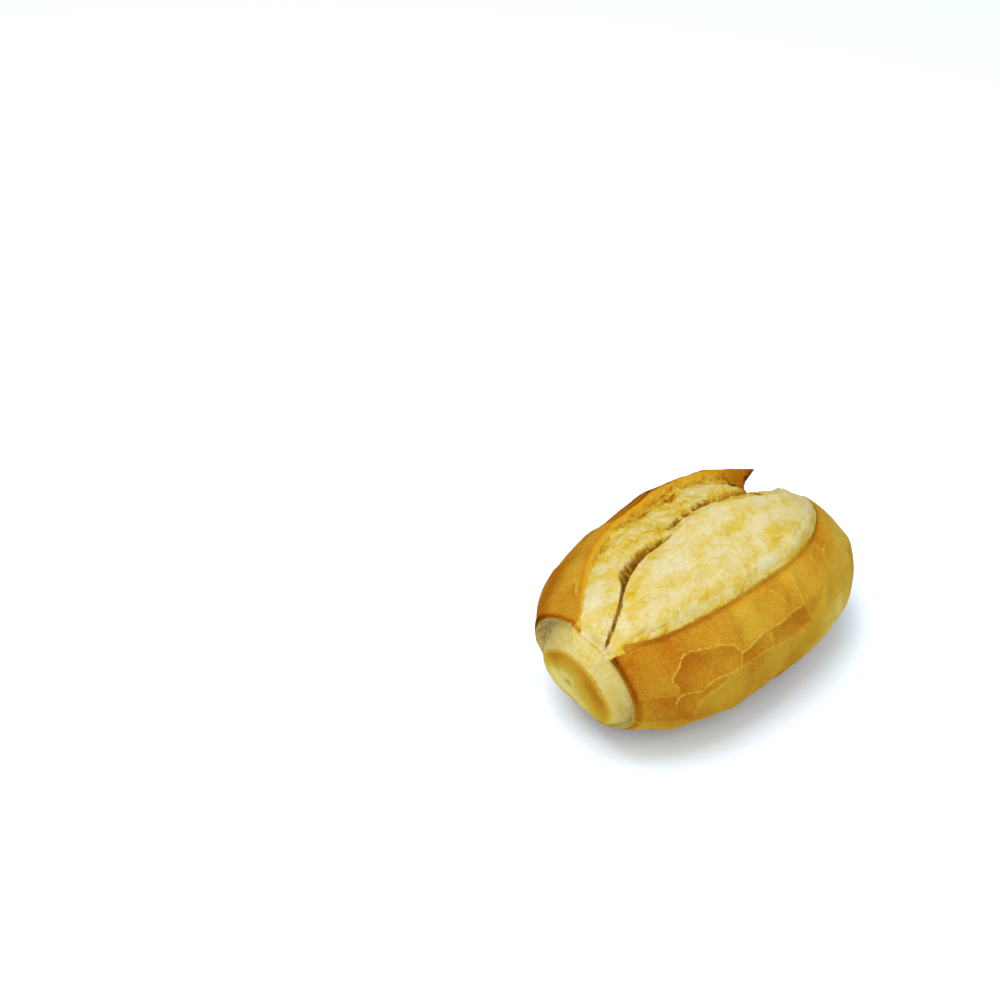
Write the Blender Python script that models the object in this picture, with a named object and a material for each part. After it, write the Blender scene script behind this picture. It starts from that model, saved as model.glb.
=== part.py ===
# One crusty french bread roll, as a single closed solid, in metres.
# The long axis runs along X. The rolled-up cap end faces -X, the raised lip of the cut runs along +Y,
# the plated side with the pale bloom faces -Y, and the roll rests on its small flat underside at Z = 0.

import bpy
import bmesh
import numpy as np
from mathutils import Vector, noise

# Main body
HALF_WIDTH = 0.0387
RISE_ABOVE_MIDDLE = 0.0291
DROP_BELOW_MIDDLE = 0.0297
MIDDLE_HEIGHT = 0.0278
NEAR_FULLNESS = 2.8
FAR_FULLNESS = 2.17
FAR_ROUNDNESS = 1.78
FAR_REACH = 0.0527
FAR_TIP_HEIGHT = 0.0202
FAR_TIP_SIDE = -0.0052

# Torn ring round the cap end: its middle, its half sizes, and how far its plane droops and turns
RING_MIDDLE = (-0.0606, -0.0009, 0.0289)
RING_HALF_WIDTH = 0.0197
RING_HALF_HEIGHT = 0.0211
RING_DROOP = np.radians(13.3)
RING_TURN = np.radians(3.6)
RING_LIP = 0.0012
RING_INSET = 0.0011
BAND_STEP = 0.0007
BAND_HOLLOW = 0.0013

# Rolled cap inside the ring: how far its rim stands out, how far its middle lies to the side and up,
# its half sizes, how its outline waves (two waves round, then three), and how much further its near side
# and its top stand out
CAP_EDGE = 0.0041
CAP_ASIDE = 0.0003
CAP_ABOVE = -0.0012
CAP_HALF_WIDTH = 0.0144
CAP_HALF_HEIGHT = 0.0160
CAP_WAVES = (-0.061, 0.064, 0.073, 0.057)
CAP_TILT = (0.00124, 0.00123)
CAP_DOME = 0.0016
NAVEL_DEPTH = 0.0009

# Long cut on the top: the lip that stands up, the torn wall, the crack and the pale bloom
EAR_HEIGHT = 0.0028
EAR_END = 0.66
TEAR_SLANT = 26.0
LIP_FACE = 0.0018
EAR_GROWTH = (0.0, 0.15, 0.22, 0.36, 0.29, 0.36, 0.57, 0.86, 1.0)
HOLLOW_DEPTH = 0.0050
WALL_DEPTH = 0.0027
CRACK_DEPTH = 0.0060
CRACK_ANGLES = (33.0, 20.4, 12.3, 3.0, -2.5, -2.5, -5.5, 0.5, 11.0)
REAR_CRACK_ANGLES = (-8.0, -12.5, -13.0, -9.6, -7.0)
CRACK_WIDTHS = (0.0015, 0.0013, 0.0052, 0.0048, 0.0024, 0.0008)
BLOOM_ANGLES = (41.0, 37.5, 33.2, 38.7, 41.5, 44.0)
BLOOM_END = 0.79
BLOOM_RISE = 0.0018
GUTTER_DEPTH = 0.0007

# Crust plates: how flat each one is, and how much they differ in height
PLATE_FLATNESS = 5.5
PLATE_STEP = 0.00025
PLATE_SIZE = 0.017

COLUMNS = 96
ROWS = 60

# Where bands of columns lie, counted from the underside round by the back
COLUMN_MARKS = (0, 7, 17, 20, 24, 27, 33, 43, 46, 60, 70, 88, 96)


def smooth(value, low, high):
    t = np.clip((value - low) / (high - low), 0.0, 1.0)
    return t * t * (3.0 - 2.0 * t)


def ear_angle(u):
    """Angle from the top, in degrees, of the lip along the back of the cut."""
    near = -39.0 + 40.0 * np.abs(np.minimum(u, 0.0)) ** 3.0
    closing = np.clip(np.maximum(u, 0.0) / BLOOM_END, 0.0, 1.0) ** 4.0
    far = -3.0 - 36.0 * np.sqrt(1.0 - closing)
    return np.where(u < 0.0, near, far)


def crack_angle(u):
    """Angle from the top, in degrees, of the foot of the bloom, where the crack opens."""
    return np.interp(u, (-1.0, -0.90, -0.81, -0.70, -0.55, -0.30, -0.10, 0.15, 0.50), CRACK_ANGLES)


def rear_crack_angle(u):
    """Angle from the top, in degrees, of the crack's far part, which lies deeper in the wall."""
    return np.interp(u, (-0.29, -0.15, -0.02, 0.20, 0.50), REAR_CRACK_ANGLES)


def bloom_angle(u):
    """Angle from the top, in degrees, of the near edge of the pale bloom."""
    near = np.interp(u, (-1.0, -0.965, -0.908, -0.80, -0.55, 0.0), BLOOM_ANGLES)
    closing = np.clip(np.maximum(u, 0.0) / BLOOM_END, 0.0, 1.0) ** 2.2
    far = -3.0 + 47.0 * (1.0 - closing) ** 0.53
    return np.where(u < 0.0, near, far)


def section_frame(u):
    """Middle, side direction and up direction of the tilted sections towards the cap."""
    g = np.abs(np.minimum(u, 0.0)) ** 2.2
    s = np.maximum(u, 0.0)
    droop = RING_DROOP * g
    turn = RING_TURN * g
    near_x = RING_MIDDLE[0] * np.abs(np.minimum(u, 0.0))
    near_y = RING_MIDDLE[1] * u * u
    near_z = (RING_MIDDLE[2] - MIDDLE_HEIGHT) * g
    middle_x = np.where(u < 0.0, near_x, FAR_REACH * s)
    middle_y = np.where(u < 0.0, near_y, FAR_TIP_SIDE * s * s)
    middle_z = MIDDLE_HEIGHT + np.where(u < 0.0, near_z, (FAR_TIP_HEIGHT - MIDDLE_HEIGHT) * s ** 2.5)
    middle = np.stack([middle_x, middle_y, middle_z], -1)
    side = np.stack([np.sin(turn), np.cos(turn), 0.0 * turn], -1)
    up_x = -np.sin(droop) * np.cos(turn)
    up_y = np.sin(droop) * np.sin(turn)
    up = np.stack([up_x, up_y, np.cos(droop)], -1)
    return middle, side, up


def body_point(u, angle):
    """Plain shape of the roll. u is -1 at the ring, 0 in the middle and 1 at the far tip."""
    near = np.abs(np.minimum(u, 0.0)) ** NEAR_FULLNESS
    far = (1.0 - np.clip(u, 0.0, 1.0) ** FAR_FULLNESS) ** (1.0 / FAR_ROUNDNESS)
    wide = np.sqrt(1.0 - (1.0 - (RING_HALF_WIDTH / HALF_WIDTH) ** 2) * near)
    above = np.sqrt(1.0 - (1.0 - (RING_HALF_HEIGHT / RISE_ABOVE_MIDDLE) ** 2) * near)
    below = np.sqrt(1.0 - (1.0 - (RING_HALF_HEIGHT / DROP_BELOW_MIDDLE) ** 2) * near)
    wide = HALF_WIDTH * np.where(u < 0.0, wide, far)
    above = RISE_ABOVE_MIDDLE * np.where(u < 0.0, above, far)
    below = DROP_BELOW_MIDDLE * np.where(u < 0.0, below, far)
    middle, side, up = section_frame(u)
    rise = np.where(np.cos(angle) > 0.0, above, below) * np.cos(angle)
    return middle - (wide * np.sin(angle))[..., None] * side + rise[..., None] * up


def outward(u, angle):
    """Unit direction out of the plain body."""
    along = body_point(np.minimum(u + 0.004, 0.999), angle) - body_point(np.minimum(u - 0.004, 0.99), angle)
    around = body_point(u, angle + 0.01) - body_point(u, angle - 0.01)
    n = np.cross(around, along)
    size = np.linalg.norm(n, axis=-1, keepdims=True)
    return n / np.maximum(size, 1e-12)


def bumps(points, size, seed):
    """Smooth random heights between about -1 and 1."""
    shift = Vector((seed * 7.3, seed * 3.1, seed * 5.7))
    flat = points.reshape(-1, 3) / size
    values = [noise.noise(Vector(p) + shift) for p in flat]
    return np.array(values).reshape(points.shape[:-1])


def plate_seeds():
    """Plate middles on the unrolled crust. The big ones on the near side are placed, the rest scattered."""
    placed = [(-0.0394, 0.0428), (-0.0364, 0.0310), (-0.0533, 0.0372), (-0.0236, 0.0350), (-0.0127, 0.0350),
              (-0.0036, 0.0345), (0.0063, 0.0340), (-0.0220, 0.0462), (-0.0075, 0.0465), (0.0063, 0.0460),
              (-0.0364, 0.0589), (-0.0533, 0.0570), (-0.0206, 0.0575), (0.0030, 0.0595), (0.0211, 0.0465)]
    chance = np.random.default_rng(11)
    seeds = list(placed)
    for _ in range(1400):
        spot = chance.uniform((-0.062, -0.115), (0.055, 0.115))
        gap = min(np.hypot(spot[0] - a, spot[1] - b) for a, b in seeds)
        if gap > PLATE_SIZE * 0.86:
            seeds.append(tuple(spot))
    return np.array(seeds)


def plate_relief(along, arc):
    """Flattens each plate and gives it a small height of its own."""
    seeds = plate_seeds()
    steps = np.random.default_rng(23).uniform(-1.0, 1.0, len(seeds))
    near = np.full(along.shape, 1.0)
    height = np.zeros(along.shape)
    for (a, b), step in zip(seeds, steps):
        gap = np.hypot(along - a, arc - b)
        closer = gap < near
        near = np.where(closer, gap, near)
        height = np.where(closer, step, height)
    near = np.minimum(near, 0.0115)
    return PLATE_FLATNESS * (near * near - 0.00005) + PLATE_STEP * height


def body_relief(u, angle, points):
    """Height of the real surface over the plain body, and how far each point slides along the roll."""
    degrees = np.degrees(angle)
    radius = 0.0355 * (1.0 - 0.35 * np.abs(u) ** 4)
    past_ear = np.radians(degrees - ear_angle(u)) * radius
    past_crack = np.radians(degrees - crack_angle(u)) * radius
    before_bloom = np.radians(bloom_angle(u) - degrees) * radius
    past_end = (BLOOM_END - u) * FAR_REACH
    face = LIP_FACE * (0.5 + 0.5 * smooth(u, -0.95, -0.6)) * (1.0 - 0.5 * smooth(u, 0.35, 0.6))
    inside = np.minimum(np.minimum(past_ear - face, before_bloom), np.maximum(past_end, -0.02))
    crumb = smooth(inside, -0.0004, 0.0004)

    # The lip grows towards the far end and stops short in a torn tip
    ear = EAR_HEIGHT * np.interp(u, (-1.0, -0.6, -0.3, 0.0, 0.15, 0.30, 0.45, 0.60, 0.66), EAR_GROWTH)
    tear_at = EAR_END - TEAR_SLANT * np.clip(past_ear + 0.0004, 0.0, 0.007)
    tear_at = tear_at - 0.010 * np.cos(past_ear / 0.0006) * np.exp(-(past_ear / 0.0025) ** 2)
    torn = 1.0 - smooth(u, tear_at - 0.020, tear_at + 0.025)
    ear = ear * torn
    outer = ear * np.exp(-(np.minimum(past_ear, 0.0) / 0.0065) ** 2)
    inner = ear * (1.0 - 0.35 * smooth(past_ear, 0.0, face)) * (1.0 - smooth(past_ear, face * 0.7, face * 1.5))
    lip = np.where(past_ear < 0.0, outer, inner)

    # Beyond the torn tip the back of the roll has sunk
    behind = smooth(degrees, -85.0, -52.0) * (1.0 - smooth(degrees, -22.0, -6.0))
    fade = 1.0 - smooth(u, 0.80, 0.97)
    hollow = -HOLLOW_DEPTH * behind * fade * smooth(u, tear_at, tear_at + 0.045)

    # Torn wall between the lip and the crack, with a fuller lobe near the ring
    wall_side = smooth(past_ear, face * 0.5, face * 1.5) * (1.0 - smooth(past_crack, -0.001, 0.001))
    wall_fade = 0.25 * smooth(u, -0.95, -0.70) + 0.75 * smooth(u, -0.40, -0.12)
    wall_fade = wall_fade * (1.0 - smooth(u, 0.55, 0.72))
    lobe = 0.0011 * np.exp(-((u + 0.84) / 0.13) ** 2 - ((degrees + 3.0 + (u + 0.84) * 60.0) / 10.0) ** 2)
    rough = 0.00055 * bumps(points, 0.0032, 71) * (0.4 + 0.6 * smooth(u, -0.80, -0.55))
    wall = wall_side * (rough + lobe - WALL_DEPTH * (0.12 + 0.88 * wall_fade))

    # Crack: a slit near the ring, then wide open on its wall side, and further on a groove deeper in the wall
    slit = smooth(u, -1.0, -0.95) * (1.0 - smooth(u, -0.30, -0.27))
    width = np.interp(u, (-1.0, -0.72, -0.645, -0.46, -0.30, -0.26), CRACK_WIDTHS)
    mouth = slit * smooth(past_crack, -width, -0.45 * width) * (1.0 - smooth(past_crack, -0.0002, 0.0006))
    past_rear = np.radians(degrees - rear_crack_angle(u)) * radius
    rear = smooth(u, -0.27, -0.20) * (1.0 - smooth(u, 0.42, 0.55))
    rear_mouth = rear * np.exp(-(past_rear / (0.0009 + 0.0006 * smooth(u, -0.1, 0.1))) ** 2)
    crack = -CRACK_DEPTH * np.interp(u, (-0.95, -0.72, -0.64), (0.28, 0.36, 0.55)) * mouth - 0.0017 * rear_mouth

    # Pale bloom: a low pillow with a rounded near edge
    ramp = np.interp(u, (-0.38, -0.22), (0.0070, 0.0028))
    pillow_side = smooth(past_crack, -0.0006, ramp) * smooth(before_bloom, -0.0006, 0.0050)
    pillow_fade = smooth(u, -1.02, -0.8) * (1.0 - 0.75 * smooth(u, 0.35, 0.8))
    pillow = BLOOM_RISE * pillow_side * pillow_fade * smooth(past_end, -0.001, 0.006)

    # Gutter just outside the bloom, where the crust dips
    outside = np.maximum(-before_bloom, 0.0)
    gutter = -GUTTER_DEPTH * smooth(-before_bloom, 0.0, 0.0014) * (1.0 - smooth(outside, 0.0014, 0.0075))
    gutter = gutter * smooth(u, -0.98, -0.8) * (1.0 - smooth(u, 0.5, 0.85))

    # Crust plates, crumb lumps and broad unevenness
    arc = degrees * 0.00062
    crust_only = (1.0 - smooth(inside, -0.003, 0.0)) * (1.0 - smooth(u, 0.86, 0.98))
    plates = plate_relief(u * np.where(u < 0.0, -RING_MIDDLE[0], FAR_REACH), arc) * crust_only
    running = points * np.array((0.45, 1.0, 1.0))
    lumps = crumb * (0.00040 * bumps(running, 0.0050, 3) + 0.00024 * bumps(running, 0.0024, 5))
    broad = 0.0004 * bumps(points, 0.022, 1) * (1.0 - crumb)

    # Crust edge proud round the ring, and a shallow whorl at the far tip
    top_left = np.exp(-((degrees + 45.0) / 32.0) ** 2)
    no_crust = smooth(degrees, -9.0, 1.0) * (1.0 - smooth(degrees, 37.0, 42.0))
    ring = RING_LIP * (0.45 + 0.75 * top_left) * (1.0 - no_crust) * smooth(-u, 0.90, 1.0)
    ring = ring - 0.0016 * no_crust * smooth(-u, 0.93, 1.0) ** 1.5
    turn_in = degrees / 360.0 + 2.6 * np.sqrt(np.maximum(1.0 - u, 0.0) / 0.2)
    crease = np.exp(-((turn_in - np.round(turn_in)) / 0.16) ** 2)
    whorl = -0.0007 * crease * smooth(u, 0.86, 0.93) - 0.0010 * smooth(u, 0.985, 1.0)

    height = lip + hollow + wall + crack + pillow + gutter + plates + lumps + broad + ring + whorl
    tip = np.exp(-((past_ear - 0.0004) / 0.0014) ** 2) * smooth(u, EAR_END - 0.08, EAR_END) * torn
    slide = 0.0016 * tip
    return height, slide


def ring_point(stand, angle, wide, tall, aside, above):
    """A point on an oval in the ring's plane. stand is how far it lies in front of the ring."""
    middle, side, up = section_frame(np.full(angle.shape, -1.0))
    front = np.cross(up, side)
    across = (aside - wide * np.sin(angle))[..., None] * side
    rise = (above + tall * np.cos(angle))[..., None] * up
    return middle + stand[..., None] * front + across + rise


def cap_and_band(row, angle, lip_edge):
    """Rows 0 to 18: the cap, its rolled rim, the pale band and the inside of the crust lip."""
    degrees = np.degrees(angle)
    share = np.interp(row, (0, 6, 8, 10), (0.0, 0.80, 0.94, 1.0))
    lean = CAP_TILT[0] * np.sin(angle) + CAP_TILT[1] * np.cos(angle)
    dome = CAP_DOME * (1.0 - share ** 3) + lean * share
    rolled = 0.0006 * (1.0 - np.sqrt(1.0 - np.clip((share - 0.86) / 0.14, 0.0, 1.0) ** 2 * 0.97))
    navel = NAVEL_DEPTH * np.exp(-(share / 0.16) ** 2)
    cap_height = CAP_EDGE + dome - rolled - navel
    down = np.clip((row - 10.0) / 5.0, 0.0, 1.0)
    opened = smooth(degrees, -14.0, 2.0) * (1.0 - smooth(degrees, 34.0, 44.0))
    sink = BAND_STEP * (1.0 - 2.2 * opened) * np.sin(np.pi * 0.5 * down)
    hollow = BAND_HOLLOW * np.exp(-((degrees + 48.0) / 26.0) ** 2) * smooth(down, 0.45, 0.95)
    band_height = (CAP_EDGE - 0.0005 + lean) * (1.0 - down) ** 0.9 - sink - hollow
    two = CAP_WAVES[0] * np.cos(2.0 * angle) + CAP_WAVES[1] * np.sin(2.0 * angle)
    three = CAP_WAVES[2] * np.cos(3.0 * angle) + CAP_WAVES[3] * np.sin(3.0 * angle)
    cap_wide = CAP_HALF_WIDTH * (1.0 + two + three)
    cap_tall = CAP_HALF_HEIGHT * (1.0 + two + three)
    wide = cap_wide * share + (RING_HALF_WIDTH - RING_INSET - cap_wide) * down
    tall = cap_tall * share + (RING_HALF_HEIGHT - RING_INSET - cap_tall) * down
    stand = np.where(row < 10.0, cap_height, band_height)
    inner = ring_point(stand, angle, wide, tall, CAP_ASIDE * (1.0 - down), CAP_ABOVE * (1.0 - down))
    to_lip = np.clip((row - 15.0) / 3.0, 0.0, 1.0)[..., None]
    return inner * (1.0 - to_lip) + lip_edge * to_lip


def column_angle(turn, u):
    """Spreads the columns so that some of them follow the lip, the crack and the bloom's near edge."""
    held = np.clip(u, -1.0, 0.55)
    ear = np.minimum(ear_angle(held), -14.0 + 22.0 * smooth(-held, 0.8, 1.0))
    bloom = np.maximum(bloom_angle(held), 26.0)
    near_ring = 1.0 - 0.7 * smooth(-held, 0.8, 1.0)
    crack = np.clip(crack_angle(held), ear + 8.0 + 10.0 * near_ring, bloom - 11.0)
    marks = [-180.0, -110.0, ear - 9.0, ear - 2.0, ear + 2.0, ear + 6.0, crack - 10.0 * near_ring,
             crack + 1.5 * near_ring, crack + 6.0 * near_ring, bloom - 6.0, bloom + 9.0, 112.0, 180.0]
    angles = np.interp(turn * COLUMNS, COLUMN_MARKS, marks)
    even = turn * 360.0 - 180.0
    mix = smooth(u, 0.80, 1.0)
    return np.radians(angles * (1.0 - mix) + even * mix)


def shape_roll(rows, turns):
    """Final place of every grid point from its row (0 to 60) and its turn round the roll (0 to 1)."""
    near_u = np.interp(rows, (18.0, 23.0, 40.0), (-1.0, -0.90, 0.0))
    far_u = np.sin(np.radians(np.interp(rows, (40.0, 48.0, 55.0, 60.0), (0.0, 30.0, 58.0, 90.0))))
    u = np.where(rows < 40.0, near_u, far_u)
    angle = np.zeros(rows.shape)
    for one in np.unique(np.round(rows, 4)):
        here = np.isclose(rows, one, atol=1e-3)
        angle[here] = column_angle(turns[here], float(u[here][0]))
    even = np.radians(turns * 360.0 - 180.0)
    to_even = 1.0 - smooth(rows, 1.0, 9.0)
    angle = angle * (1.0 - to_even) + even * to_even
    plain = body_point(u, angle)
    height, slide = body_relief(u, angle, plain)
    spot = plain + height[..., None] * outward(u, angle)
    spot[..., 0] += slide
    front = cap_and_band(rows, angle, spot)
    spot = np.where((rows < 18.0)[..., None], front, spot)
    spot[..., 2] = np.maximum(spot[..., 2], 0.0)
    return spot


def grid_place(spot):
    """Row and turn of a vertex of the starting sphere, whose poles lie on X."""
    x = np.clip(spot[:, 0], -1.0, 1.0)
    rows = (0.5 + np.arcsin(x) / np.pi) * ROWS
    turns = np.arctan2(-spot[:, 1], spot[:, 2]) / (2.0 * np.pi) + 0.5
    return np.round(rows, 3), np.mod(turns, 1.0)


def crust_material():
    crust = bpy.data.materials.new("golden_crust")
    crust.use_nodes = True
    shader = crust.node_tree.nodes["Principled BSDF"]
    shader.inputs["Base Color"].default_value = (0.58, 0.31, 0.045, 1.0)
    shader.inputs["Roughness"].default_value = 0.55
    return crust


def build_roll():
    sphere = bmesh.new()
    bmesh.ops.create_uvsphere(sphere, u_segments=COLUMNS, v_segments=ROWS, radius=1.0)
    sphere.verts.ensure_lookup_table()
    start = np.array([(v.co.z, v.co.x, v.co.y) for v in sphere.verts])
    rows, turns = grid_place(start)
    final = shape_roll(rows, turns)
    final[:, 0] -= 0.5 * (final[:, 0].min() + final[:, 0].max())
    final[:, 1] -= 0.5 * (final[:, 1].min() + final[:, 1].max())
    for vert, place in zip(sphere.verts, final):
        vert.co = Vector(place)
    bmesh.ops.triangulate(sphere, faces=sphere.faces[:])
    bmesh.ops.recalc_face_normals(sphere, faces=sphere.faces[:])
    mesh = bpy.data.meshes.new("bread_roll")
    sphere.to_mesh(mesh)
    sphere.free()
    for face in mesh.polygons:
        face.use_smooth = True
    roll = bpy.data.objects.new("bread_roll", mesh)
    bpy.context.scene.collection.objects.link(roll)
    roll.data.materials.append(crust_material())
    return roll


for leftover in list(bpy.data.objects):
    bpy.data.objects.remove(leftover, do_unlink=True)
build_roll()
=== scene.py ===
import math
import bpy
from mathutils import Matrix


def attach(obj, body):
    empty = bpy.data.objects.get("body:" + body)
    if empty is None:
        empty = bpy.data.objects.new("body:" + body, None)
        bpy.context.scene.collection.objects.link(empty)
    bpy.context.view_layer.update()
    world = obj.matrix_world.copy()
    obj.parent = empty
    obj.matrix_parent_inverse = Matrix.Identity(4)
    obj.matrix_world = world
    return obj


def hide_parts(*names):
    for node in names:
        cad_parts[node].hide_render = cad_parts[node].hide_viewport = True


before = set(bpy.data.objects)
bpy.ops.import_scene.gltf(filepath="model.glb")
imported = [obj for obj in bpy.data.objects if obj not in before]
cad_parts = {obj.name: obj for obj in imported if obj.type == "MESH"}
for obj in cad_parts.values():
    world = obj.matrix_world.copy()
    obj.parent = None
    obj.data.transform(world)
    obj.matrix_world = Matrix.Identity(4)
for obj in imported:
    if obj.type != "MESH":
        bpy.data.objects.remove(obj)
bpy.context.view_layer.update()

from types import SimpleNamespace
import bmesh
import bpy
import numpy as np
from mathutils import Matrix, Vector, noise

mm = 0.001

# The loaf before anything is torn. Millimetres and degrees, X along the loaf, cap end at -X
loaf = {
    "halfWidth": 38.7,
    "aboveMiddle": 29.1,
    "belowMiddle": 29.7,
    "middleHeight": 27.8,
    "nearFullness": 2.8,
    "farFullness": 2.17,
    "farRoundness": 1.78,
    "farReach": 52.7,
    "farTipHeight": 20.2,
    "farTipSide": -5.2,
    "outlineMiddle": (-8.51, -0.07),  # of the outline, seen from the section that the sizes start at
    "girthRadius": 35.5,  # turns an angle into millimetres round the loaf
    "whorlCrease": 0.7,
    "whorlPit": 1.0,
    "columns": 320,
    "rows": 304,
}

# The torn ring and the rolled-up cap that sits in it
capEnd = {
    "ringMiddle": (-60.6, -0.9, 28.9),
    "ringHalfWidth": 19.7,
    "ringHalfHeight": 21.1,
    "droop": 13.3,
    "turn": 3.6,
    "crustLip": 1.2,
    "crustThickness": 1.1,
    "bandSink": 0.7,
    "hollow": 1.3,
    "capEdge": 4.1,
    "capOffset": (0.3, -1.2),  # off the ring's middle, sideways and up
    "capHalfWidth": 14.4,
    "capHalfHeight": 16.0,
    "capWaves": (-0.061, 0.064, 0.073, 0.057),  # its outline off a plain oval: two waves round, then three
    "capTilt": (1.24, 1.23),  # how much further its near side and its top stand out
    "capDome": 1.6,
    "navelDepth": 0.9,
    "navelAside": 2.7,
    "swirlDepth": 0.25,
    "pitDepth": 0.5,
}

# The long cut: lip, torn wall, crack, pale bloom. Stations are places along the loaf, from -1 at the ring
# to 1 at the far tip
cut = {
    "earAngle": -39.0,
    "meetAngle": -3.0,  # where lip and bloom's edge meet at the far end
    "earHeight": 2.8,
    "earStations": (-1.0, -0.6, -0.3, 0.0, 0.15, 0.30, 0.45, 0.60, 0.66),
    "earGrowth": (0.0, 0.15, 0.22, 0.36, 0.29, 0.36, 0.57, 0.86, 1.0),
    "earEnd": 0.625,
    "tearSlant": 0.022,  # how much sooner it ends for each millimetre towards the crack
    "backSlant": 0.035,  # and for each millimetre down its outer side
    "tooth": 2.5,
    "toothDepth": 0.060,
    "toothDrawn": (7.6, -4.3),  # how far the first tooth is drawn out along the loaf, and how it hangs
    "secondTooth": 0.4,  # how much of that the second one gets
    "lipFace": 1.8,
    "hollowDepth": 5.0,
    "wallDepth": 2.7,
    "wallRoughness": (0.24, 0.50, 0.34),
    "lobeRise": 1.1,
    "crackDepth": 6.0,
    "crackStations": (-1.0, -0.977, -0.942, -0.90, -0.855, -0.81, -0.784, -0.744, -0.70,
                      -0.64, -0.555, -0.485, -0.42, -0.35, -0.30, -0.24, -0.167, -0.096,
                      -0.036, 0.055, 0.15, 0.24, 0.35, 0.47, 0.56, 0.66, 0.80),
    "crackAngles": (33.0, 29.5, 24.6, 20.4, 16.0, 12.3, 10.3, 6.5, 3.0,
                    0.3, -2.5, -3.2, -2.8, -2.5, -2.5, -4.0, -5.0, -5.5,
                    -4.7, -2.5, 0.5, 3.0, 6.0, 8.0, 2.0, -8.0, -14.0),
    "openStations": (-1.0, -0.90, -0.72, -0.685, -0.645, -0.55, -0.46, -0.38, -0.32,
                     -0.285, -0.26, -0.20, -0.05, 0.05, 0.25, 0.42, 0.55),
    "openWidths": (1.5, 1.3, 1.3, 2.4, 5.2, 5.0, 4.8, 3.8, 2.6,
                   0.8, 0.8, 1.4, 1.8, 2.6, 2.8, 1.6, 0.8),
    "flapRise": 0.9,
    "rearDepth": 2.4,
    "rearStations": (-0.29, -0.22, -0.15, -0.05, 0.06, 0.20, 0.30, 0.45, 0.55),
    "rearAngles": (-8.0, -10.5, -12.5, -13.0, -12.5, -9.6, -9.3, -8.0, -6.0),
    "bloomStations": (-1.0, -0.965, -0.93, -0.908, -0.87, -0.80, -0.68, -0.55, -0.39, -0.14, 0.0),
    "bloomAngles": (41.0, 37.5, 34.2, 33.2, 35.8, 38.7, 40.5, 41.5, 42.5, 43.5, 44.0),
    "bloomEnd": 0.79,
    "bloomRise": 1.8,
    "backSink": 1.3,  # how far the pillow has settled at its far back corner
    "gutterDepth": 0.7,
    "lumps": (0.40, 0.24, 0.15),
    "flakeRise": 0.40,
    "flakeCrease": 0.35,
    "pitDepth": 0.6,
}

# Short torn edges in the bloom: place, angle, half length, bend, turn
tears = [
    (-0.690, 19.5, 5.5, 1.2, 12.0),
    (-0.655, 30.0, 2.4, 0.5, 35.0),
    (-0.755, 35.5, 3.0, -0.3, 10.0),
    (-0.825, 33.0, 2.2, 0.3, -5.0),
]

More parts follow.
